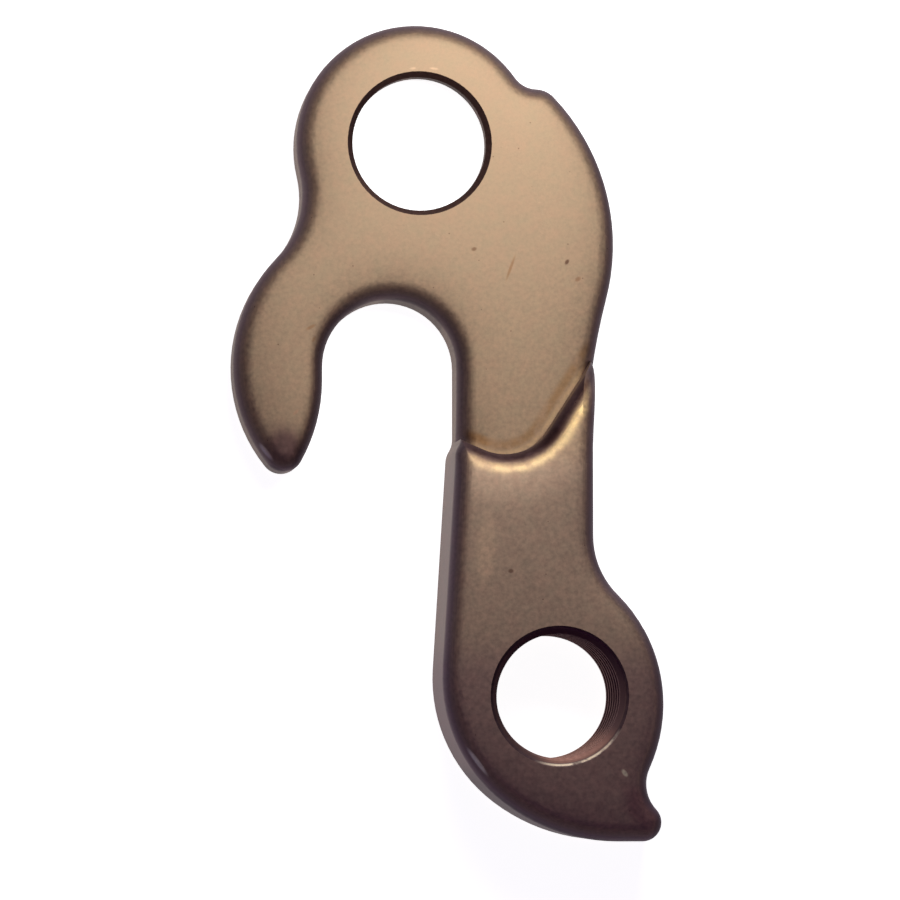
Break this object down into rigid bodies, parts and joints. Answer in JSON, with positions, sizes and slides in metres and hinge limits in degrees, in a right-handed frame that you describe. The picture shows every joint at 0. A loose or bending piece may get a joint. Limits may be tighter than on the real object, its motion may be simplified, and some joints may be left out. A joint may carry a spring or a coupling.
{
  "type": "bicycle derailleur hanger",
  "caption": "Flat metal bicycle derailleur hanger with a frame bolt hole, a hooked slot for the rear axle, and a raised arm ending in the derailleur's threaded hole and a stop tab.",
  "frame": {"origin": "on the frame bolt's axis, in the plane of the flat back", "axes": "+Z out of the face that lies against the frame, along every hole; +Y from the rear axle up towards the frame bolt, so the axle slot opens towards -Y; +X towards the rear of the bicycle"},
  "size_m": [0.0315, 0.0608, 0.008],
  "materials": {
    "bronze_aluminium": "blasted and bronze anodised, satin"
  },
  "bodies": {
    "root": {"derailleur_hanger": "bronze_aluminium"}
  },
  "joints": []
}
